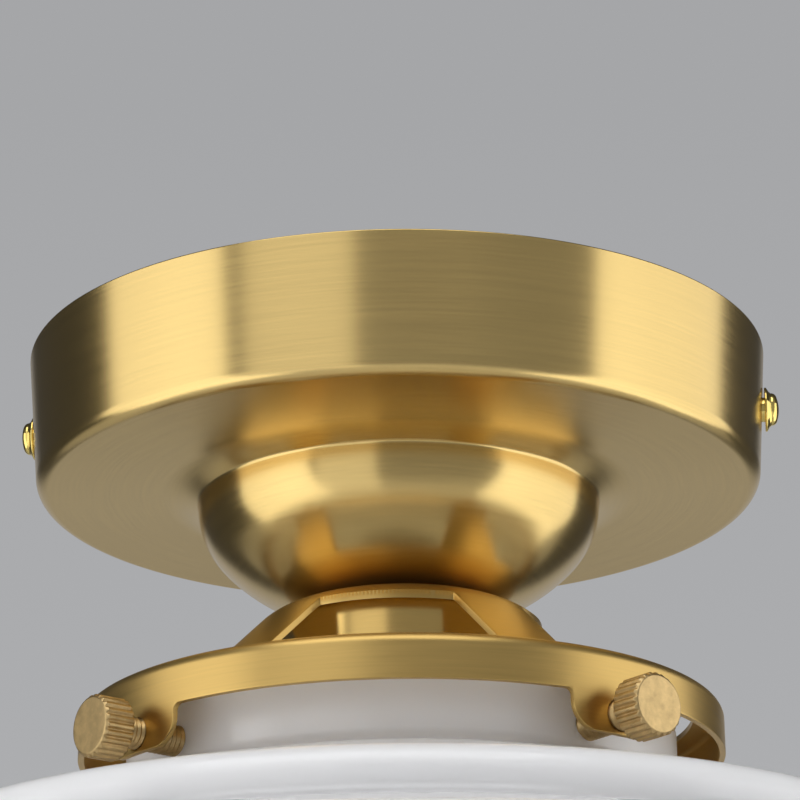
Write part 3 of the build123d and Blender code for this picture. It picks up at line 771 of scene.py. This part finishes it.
class CanopyPiece(bpy.types.Operator):
    """Spins the canopy: pan, flare and round neck in one sheet, with its two side holes"""

    bl_idname = "ceiling_light.canopy"
    bl_label = "Canopy"

    def execute(self, context):
        size = context.scene.light_canopy
        lean = pi / 2 - size.draft
        corner_run = size.corner * tan(lean / 2)
        wall = size.depth / cos(size.draft) - corner_run
        low_radius = size.radius - size.depth * tan(size.draft)
        rest = pi / 2 - size.flare_turn
        flare_run = size.flare_radius * sin(size.flare_turn) + size.throat_radius * (1 - cos(rest))
        flat = low_radius - corner_run - size.neck_radius - flare_run
        side_run = size.side_radius * (1 - cos(size.side_turn))
        floor_turn = pi / 2 - size.side_turn
        floor_radius = (size.neck_radius - side_run - size.seat_radius) / sin(floor_turn)
        moves = [
            (wall,),
            (size.corner, -lean, 10),
            (flat,),
            (size.flare_radius, size.flare_turn, 14),
            (size.throat_radius, rest, 8),
            (size.side_radius, -size.side_turn, 18),
            (floor_radius, -floor_turn, 22),
            (size.seat_radius - size.hole_radius,),
        ]
        start = -size.sheet * sin(size.draft)
        moves[0] = (wall + start,)
        x = size.radius + start * tan(size.draft)
        outline = sheet_outline(x, start, -pi / 2 - size.draft, moves, size.sheet, size.edge)
        mesh = outline.revolve(size.steps)
        drill = cylinder(size.screw_hole, 3 * size.radius)
        turn_and_place(drill, *along_x(0, 0, -size.screw_drop))
        mesh = cut(mesh, drill)
        make_piece("canopy_pan", mesh, "ceiling_fitting", "spun_brass", "canopy")
        return {"FINISHED"}


class CanopyScrewPieces(bpy.types.Operator):
    """Turns the two polished canopy screws: dished flange and domed cap"""

    bl_idname = "ceiling_light.canopy_screws"
    bl_label = "Canopy screws"

    def execute(self, context):
        size = context.scene.light_screws
        canopy = context.scene.light_canopy
        bore = size.cap_bore
        edge = 0.00015
        groove = 0.0003
        for side, around in zip(SIDES, (0.0, pi)):
            node = "canopy_screw_cap_" + side
            low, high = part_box(node)
            seat = low.x if side == "right" else -high.x
            outline = Outline(bore, 0.0, 0.0)
            outline.run(size.cap_flange - edge - bore).arc(edge, pi / 2, 4)
            outline.run(size.cap_rim - 2 * edge).arc(edge, pi / 2 - size.cap_slope, 4)
            slant = (outline.tip.co.x - size.cap_dome - groove) / cos(size.cap_slope)
            outline.run(slant).arc(groove, size.cap_slope - pi / 2, 5)
            crown = radians(20)
            outline.tip.co.x = size.cap_dome
            reach = size.cap_dome - size.cap_shoulder * (1 - sin(crown))
            dome = reach / sin(crown)
            rise = size.cap_height - outline.tip.co.z
            rise -= size.cap_shoulder * cos(crown) + dome * (1 - cos(crown))
            outline.run(rise).arc(size.cap_shoulder, pi / 2 - crown, 8).arc(dome, crown, 6)
            outline.tip.co.x = 0.0
            mesh = outline.revolve(48)
            rims = [e for e in mesh.edges if e.is_boundary]
            deep = bmesh.ops.extrude_edge_only(mesh, edges=rims)["geom"]
            moved = [v for v in deep if isinstance(v, bmesh.types.BMVert)]
            bmesh.ops.translate(mesh, verts=moved, vec=(0, 0, 0.0007))
            turn_and_place(close_rims(mesh), *along_x(around, seat, -canopy.screw_drop))
            make_piece("screw_cap_" + side, mesh, node, "polished_brass", node)
        return {"FINISHED"}


class GalleryPiece(bpy.types.Operator):
    """Stamps the gallery: hub, four arms, flange, band and four ears"""

    bl_idname = "ceiling_light.gallery"
    bl_label = "Gallery"

    def execute(self, context):
        size = context.scene.light_gallery
        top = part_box("gallery")[1].z
        hole = context.scene.light_canopy.hole_radius
        fall = size.drop - (size.shoulder + size.foot) * (1 - cos(size.slope))
        foot_end = size.hub_flat + (size.shoulder + size.foot) * sin(size.slope) + fall / tan(size.slope)
        moves = [
            (size.hub_flat - hole,),
            (size.shoulder, -size.slope, 14),
            (fall / sin(size.slope),),
            (size.foot, size.slope, 12),
            (size.band_radius - size.bend - foot_end,),
            (size.bend, -pi / 2, 8),
            (size.band - size.bend - size.support,),
            (size.ear_height + size.support,),
        ]
        outline = sheet_outline(hole, top, 0.0, moves, size.sheet, size.edge)
        mesh = turn_and_place(outline.revolve(size.steps), Matrix.Rotation(pi / size.steps, 4, "Z"))
        band_low = top - size.drop - size.band
        cutters = []
        for quarter in range(4):
            around = quarter * pi / 2
            cutters.append(self.window(size, around + pi / 4, top))
            cutters.append(self.gap(size, around, band_low))
            drill = cylinder(context.scene.light_screws.stud_radius + 0.00005, 0.02, 48)
            level = -context.scene.light_screws.stud_level
            cutters.append(turn_and_place(drill, *along_x(around, size.band_radius, level)))
        mesh = turn_and_place(cut(mesh, *cutters), Matrix.Rotation(size.turn, 4, "Z"))
        make_piece("gallery_spider", mesh, "ceiling_fitting", "stamped_brass", "gallery")
        return {"FINISHED"}

    def window(self, size, around, top):
        """Cutter for the opening between two arms, centred on an angle."""
        mesh = bmesh.new()
        first = mesh.verts.new((size.window_inner, 0, 0))
        second = mesh.verts.new((size.window_outer, 0, 0))
        mesh.edges.new((first, second))
        turn_and_place(mesh, Matrix.Rotation(-pi / 4, 4, "Z"))
        bmesh.ops.spin(
            mesh, geom=everything(mesh), cent=(0, 0, 0), axis=(0, 0, 1), angle=pi / 2, steps=size.steps // 4
        )
        half = size.arm_width / 2
        for side in (1, -1):
            outward = Vector((-sin(pi / 4), side * cos(pi / 4), 0))
            bmesh.ops.bisect_plane(
                mesh,
                geom=everything(mesh),
                dist=1e-7,
                plane_co=-outward * half,
                plane_no=outward,
                clear_outer=True,
            )
        bmesh.ops.remove_doubles(mesh, verts=mesh.verts[:], dist=1e-6)
        bmesh.ops.dissolve_faces(mesh, faces=mesh.faces[:], use_verts=False)
        self.round_corners(mesh, size.window_corner, radians(40))
        self.thicken(mesh, Vector((0, 0, size.drop + size.sheet + 0.0002)))
        level = top - size.drop - size.sheet - 0.0002
        return turn_and_place(mesh, Matrix.Translation((0, 0, level)), Matrix.Rotation(around, 4, "Z"))

    def gap(self, size, around, band_low):
        """Cutter for the space between two ears, as a flat plate wrapped round the band."""
        quarter = size.band_radius * pi / 2
        half = size.ear_width / 2
        start = size.band_radius * asin(half / size.band_radius)
        low = -size.ear_height
        mesh = bmesh.new()
        corners = [
            (start - size.ear_corner, low - 0.002),
            (start - size.ear_corner, low),
            (start, low),
            (start, 0),
            (quarter - start, 0),
            (quarter - start, low),
            (quarter - start + size.ear_corner, low),
            (quarter - start + size.ear_corner, low - 0.002),
        ]
        mesh.faces.new([mesh.verts.new((x, 0, z)) for x, z in corners])
        radii = {round(low, 6): size.ear_corner * 0.999, 0.0: size.ear_root}
        inner = [v for v in mesh.verts if start - 1e-6 < v.co.x < quarter - start + 1e-6]
        for vert in inner:
            self.round_vertex(mesh, vert, radii[round(vert.co.z, 6)])
        self.thicken(mesh, Vector((0, -0.01, 0)))
        columns = size.steps // 4
        for column in range(1, columns):
            place = (quarter * column / columns, 0, 0)
            bmesh.ops.bisect_plane(
                mesh, geom=everything(mesh), dist=1e-7, plane_co=place, plane_no=(1, 0, 0)
            )
        for vert in mesh.verts:
            turn = vert.co.x / size.band_radius
            reach = size.band_radius - 0.005 - vert.co.y
            vert.co = Vector((reach * cos(turn), reach * sin(turn), vert.co.z))
        return turn_and_place(mesh, Matrix.Translation((0, 0, band_low)), Matrix.Rotation(around, 4, "Z"))

    def round_corners(self, mesh, radius, least):
        """Rounds each corner of a flat face that turns by more than the least angle."""
        face = mesh.faces[:][0]
        sharp = [loop.vert for loop in face.loops if abs(pi - loop.calc_angle()) > least]
        for vert in sharp:
            self.round_vertex(mesh, vert, radius)

    def round_vertex(self, mesh, vert, radius):
        """Rounds one corner of a flat face to a radius."""
        loop = vert.link_loops[0]
        offset = radius / tan(loop.calc_angle() / 2)
        bmesh.ops.bevel(
            mesh,
            geom=[vert],
            offset=offset,
            offset_type="OFFSET",
            affect="VERTICES",
            segments=8,
            profile=0.5,
            material=-1,
            clamp_overlap=False,
        )

    def thicken(self, mesh, vector):
        """Closed plate from a flat face."""
        faces = mesh.faces[:]
        made = bmesh.ops.extrude_face_region(mesh, geom=faces, use_keep_orig=True)["geom"]
        moved = [v for v in made if isinstance(v, bmesh.types.BMVert)]
        bmesh.ops.translate(mesh, verts=moved, vec=vector)
        bmesh.ops.recalc_face_normals(mesh, faces=mesh.faces[:])


class ThumbscrewPieces(bpy.types.Operator):
    """Turns and flutes the four thumbscrews and cuts their threads"""

    bl_idname = "ceiling_light.thumbscrews"
    bl_label = "Thumbscrews"

    def execute(self, context):
        size = context.scene.light_screws
        start = context.scene.light_gallery.turn - pi / 2
        shade = context.scene.light_shade
        tip = shade.neck_radius + 0.0002
        back = tip + size.stud_length - 0.003
        for index, corner in enumerate(CORNERS):
            around = start + index * pi / 2
            head = self.head(size)
            turn_and_place(head, Matrix.Rotation(radians(7.0 * index), 4, "Z"))
            turn_and_place(head, *along_x(around, back, -size.stud_level))
            body = "thumb_head_" + corner
            make_piece("thumb_grip_" + corner, head, body, "turned_brass", body)
            stud = threaded_rod(size.stud_radius, size.pitch, size.stud_length)
            turn_and_place(stud, *along_x(around, tip, -size.stud_level))
            body = "thumb_stud_" + corner
            make_piece("thumb_thread_" + corner, stud, body, "turned_brass", body)
        return {"FINISHED"}

    def head(self, size):
        """Head about Z, from its back at 0 to its face."""
        per_flute = 10
        mesh = bmesh.new()
        segments = size.flutes * per_flute
        bmesh.ops.create_circle(mesh, cap_ends=True, segments=segments, radius=size.thumb_radius)
        ring = {}
        for vert in mesh.verts:
            around = atan2(vert.co.y, vert.co.x)
            wave = cos(around * size.flutes)
            ring[vert] = size.thumb_radius - size.flute_depth * max(0.0, 0.25 - wave) ** 0.75
        back = 0.00025
        chamfer = size.thumb_chamfer
        body = size.thumb_length
        levels = [(0.0, size.thumb_radius - back), (back, size.thumb_radius)]
        levels += [(body - chamfer, size.thumb_radius)]
        for share in (0.25, 0.5, 0.75, 1.0):
            levels.append((body - chamfer * (1 - share), size.thumb_radius - chamfer * share))
        levels.append((body + 0.00002, size.thumb_radius - chamfer - 0.00015))
        levels.append((body - 0.00003, size.thumb_radius - chamfer - 0.0009))
        face = mesh.faces[:][0]
        for number, (height, limit) in enumerate(levels):
            if number:
                made = bmesh.ops.extrude_discrete_faces(mesh, faces=[face])["faces"]
                corners = {(round(v.co.x, 9), round(v.co.y, 9)): reach for v, reach in ring.items()}
                face = made[0]
                ring = {v: corners[(round(v.co.x, 9), round(v.co.y, 9))] for v in face.verts}
            for vert, reach in ring.items():
                along = Vector((vert.co.x, vert.co.y, 0)).normalized()
                vert.co = along * min(reach, limit) + Vector((0, 0, height))
        bmesh.ops.remove_doubles(mesh, verts=mesh.verts[:], dist=1e-8)
        return close_rims(mesh)


class ShadePiece(bpy.types.Operator):
    """Blows the opal glass shade: straight neck, two steps, belly and closed base"""

    bl_idname = "ceiling_light.shade"
    bl_label = "Shade"

    def execute(self, context):
        size = context.scene.light_shade
        rise = tan(size.slope)
        neck_low = -size.top - size.neck_height
        step_1 = neck_low - (size.step_1_radius - size.neck_radius) * rise
        face_1 = step_1 - size.step_1_height
        step_2 = face_1 - (size.step_2_radius - size.step_1_radius) * rise
        face_2 = step_2 - size.step_2_height
        belly = face_2 - (size.belly_radius - size.step_2_radius) * rise
        base = -size.top - size.height
        corners = [
            (size.neck_radius, -size.top, 0, 0),
            (size.neck_radius, neck_low, size.hollow, 8),
            (size.step_1_radius, step_1, size.step_round, 8),
            (size.step_1_radius + size.lean, face_1, size.hollow, 8),
            (size.step_2_radius, step_2, size.step_round, 8),
            (size.step_2_radius + size.lean, face_2, size.hollow, 8),
            (size.belly_radius, belly, size.belly_round, 10),
            (size.belly_radius, belly - size.belly_height, size.belly_curve, 20),
            (size.base_radius, base, size.base_round, 16),
            (0.0, base, 0, 0),
        ]
        moves, heading = self.moves_through(corners)
        glass = size.glass
        round_rim = glass * 0.45
        outline = Outline(size.neck_radius, -size.top - round_rim, heading)
        moves[0] = (moves[0][0] - round_rim,)
        outline.follow(moves)
        outline.tip.co.x = 0.0
        tip = outline.mesh.verts.new((0, 0, outline.tip.co.z + glass))
        outline.tip = tip
        outline.heading += pi
        for move in reversed(moves):
            if len(move) == 1:
                outline.run(move[0])
            else:
                radius, turn, steps = move
                outline.arc(radius - glass if turn < 0 else radius + glass, -turn, steps)
        outline.arc(round_rim, -pi / 2, 6).run(glass - 2 * round_rim).arc(round_rim, -pi / 2, 6)
        mesh = outline.revolve(size.steps)
        make_piece("opal_shade", mesh, "glass_shade", "opal_glass", "glass_shade")
        return {"FINISHED"}

    def moves_through(self, corners):
        """Runs and arcs along a line whose corners are rounded."""
        points = [Vector((x, z)) for x, z, _, _ in corners]
        headings = []
        for first, second in zip(points, points[1:]):
            step = second - first
            headings.append(Vector((1, 0)).angle_signed(step) * -1)
        moves = []
        used = 0.0
        for index in range(1, len(points)):
            distance = (points[index] - points[index - 1]).length - used
            if index < len(points) - 1:
                turn = headings[index] - headings[index - 1]
                turn = (turn + pi) % (2 * pi) - pi
                radius, steps = corners[index][2:]
                used = radius * tan(abs(turn) / 2)
                moves.append((distance - used,))
                moves.append((radius, turn, steps))
            else:
                moves.append((distance,))
        return moves, headings[0]


class SocketPieces(bpy.types.Operator):
    """Draws the socket cup"""

    bl_idname = "ceiling_light.socket_cup"
    bl_label = "Socket cup"

    def execute(self, context):
        size = context.scene.light_socket
        moves = [
            (size.cup_radius - size.cup_corner - size.cup_hole,),
            (size.cup_corner, -pi / 2, 8),
            (size.cup_height - size.cup_corner,),
        ]
        outline = sheet_outline(size.cup_hole, -size.cup_top, 0.0, moves, size.cup_sheet, 0.00015)
        mesh = outline.revolve(144)
        # The cup takes a lighter copy of the stamped brass: painted light, not a different brass
        make_piece("cup_shell", mesh, "ceiling_fitting", "stamped_brass", "socket_cup", finish="cup_brass")
        return {"FINISHED"}


class BulbPieces(bpy.types.Operator):
    """Makes the bulb's frosted envelope and its rounded screw cap"""

    bl_idname = "ceiling_light.bulb"
    bl_label = "Bulb"

    def execute(self, context):
        size = context.scene.light_socket
        low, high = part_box("bulb_cap")
        neck = size.thread - 0.00075
        turn = size.bulb_flare
        flare = (size.bulb_radius * cos(turn) - neck) / (1 - cos(turn))
        ball = low.z - size.bulb_length + size.bulb_radius
        neck_low = ball + (size.bulb_radius + flare) * sin(turn)
        outline = Outline(neck, low.z + 0.004, -pi / 2)
        outline.run(low.z + 0.004 - neck_low)
        outline.arc(flare, turn, 16).arc(size.bulb_radius, -turn - pi / 2, 40)
        outline.tip.co.x = 0.0
        mesh = close_rims(outline.revolve(96))
        make_piece("bulb_glass", mesh, "bulb_envelope", "bulb_glass", "bulb_envelope")

        pitch = size.thread_pitch
        span = high.z - low.z
        turns = int(span / pitch) + 4
        wave = 0.00122
        steep = radians(84)
        outline = Outline(size.thread - 0.0008, -2 * pitch, pi / 2)
        for _ in range(turns):
            outline.heading = radians(48)
            outline.arc(wave, steep, 6)
            outline.arc(wave, -steep, 6)
        mesh = outline.mesh
        real = outline.tip.co.z + 2 * pitch
        turn_and_place(mesh, Matrix.Translation((0, 0, 2 * pitch)))
        turn_and_place(mesh, Matrix.Scale(pitch * turns / real, 4, (0, 0, 1)))
        turn_and_place(mesh, Matrix.Translation((0, 0, -pitch)))
        turn_and_place(sweep_thread(mesh, pitch, span, 72), Matrix.Translation((0, 0, low.z)))
        make_piece("bulb_screw_cap", mesh, "bulb_cap", "bulb_cap_metal", "bulb_cap")
        return {"FINISHED"}


class FittingFinishes(bpy.types.Operator):
    """Gives every inner fitting that keeps its CAD shape its finish"""

    bl_idname = "ceiling_light.fittings"
    bl_label = "Inner fittings"

    def execute(self, context):
        slots = {entry["node"]: entry["material_slot"] for entry in frame["record"]["subparts"]}
        for node, piece in frame["nodes"].items():
            finish = FINISHES[slots[node]]
            for slot in piece.material_slots:
                slot.material = finish
        return {"FINISHED"}


class CeilingLightPanel(bpy.types.Panel):
    """Lists the light's sizes, colours and pieces"""

    bl_idname = "VIEW3D_PT_ceiling_light"
    bl_label = "Ceiling Light"
    bl_space_type = "VIEW_3D"
    bl_region_type = "UI"
    bl_category = "Ceiling Light"

    def draw(self, context):
        for operator in OPERATORS:
            self.layout.operator(operator.bl_idname)
        for name, group in GROUPS.items():
            box = self.layout.box()
            box.label(text=group.__doc__)
            settings = getattr(context.scene, name)
            for key in group.__annotations__:
                box.prop(settings, key)


GROUPS = {
    "light_canopy": CanopySizes,
    "light_gallery": GallerySizes,
    "light_screws": ScrewSizes,
    "light_shade": ShadeSizes,
    "light_socket": SocketSizes,
    "light_colours": Colours,
    "light_studio": StudioSettings,
}
OPERATORS = (
    StagePiece,
    FittingFinishes,
    CanopyPiece,
    CanopyScrewPieces,
    GalleryPiece,
    ThumbscrewPieces,
    SocketPieces,
    BulbPieces,
    ShadePiece,
)
FINISHES = {}


def make_finishes(colours):
    """All the finishes, by the record's slot names."""
    pick = {key: tuple(getattr(colours, key)) for key in Colours.__annotations__}
    FINISHES.update(
        spun_brass=brushed_brass("spun_brass", pick["spun_brass"], 0.24, 0.72),
        stamped_brass=brushed_brass("stamped_brass", pick["stamped_brass"], 0.36, 0.4),
        # Socket cup: the stamped brass made 1.2 times lighter, painted light that brightens the cup as if it
        # caught more light
        cup_brass=brushed_brass("cup_brass", shade_of(pick["stamped_brass"], 1.2), 0.22, 0.3),
        polished_brass=mottled_metal("polished_brass", pick["polished_brass"], 0.08, amount=0.04),
        turned_brass=mottled_metal("turned_brass", pick["turned_brass"], 0.4, 700.0, 0.00002, 0.18),
        plain_brass=mottled_metal("plain_brass", pick["fittings_brass"], 0.3),
        nickel_brass=mottled_metal("nickel_brass", pick["nickel"], 0.25, amount=0.08),
        bulb_cap_metal=mottled_metal("bulb_cap_metal", pick["nickel"], 0.28, amount=0.08),
        zinc_steel=mottled_metal("zinc_steel", pick["zinc"], 0.35, 250.0, amount=0.1),
        tinned_copper=mottled_metal("tinned_copper", pick["zinc"], 0.3, 400.0, amount=0.08),
        opal_glass=opal_glass("opal_glass", pick["opal"]),
        bulb_glass=moulded("bulb_glass", pick["frosted"], 0.45, 1200.0),
        glazed_porcelain=moulded("glazed_porcelain", pick["porcelain"], 0.2, 500.0, gloss=0.5),
        black_glass=moulded("black_glass", pick["black"], 0.15, 800.0),
        block_plastic=moulded("block_plastic", pick["nylon"], 0.45),
        bush_plastic=moulded("bush_plastic", pick["black"], 0.5),
        live_sleeve=moulded("live_sleeve", pick["brown"], 0.38),
        neutral_sleeve=moulded("neutral_sleeve", pick["blue"], 0.38),
        earth_sleeve=striped_sleeve("earth_sleeve", pick["green"], pick["yellow"]),
    )


def register():
    for group in GROUPS.values():
        bpy.utils.register_class(group)
    for name, group in GROUPS.items():
        setattr(bpy.types.Scene, name, PointerProperty(type=group))
    for operator in OPERATORS:
        bpy.utils.register_class(operator)
    bpy.utils.register_class(CeilingLightPanel)


def unregister():
    bpy.utils.unregister_class(CeilingLightPanel)
    for operator in reversed(OPERATORS):
        bpy.utils.unregister_class(operator)
    for name, group in reversed(list(GROUPS.items())):
        delattr(bpy.types.Scene, name)
        bpy.utils.unregister_class(group)


def main():
    register()
    make_finishes(bpy.context.scene.light_colours)
    for operator in OPERATORS:
        family, name = operator.bl_idname.split(".")
        getattr(getattr(bpy.ops, family), name)()


if __name__ == "__main__":
    main()
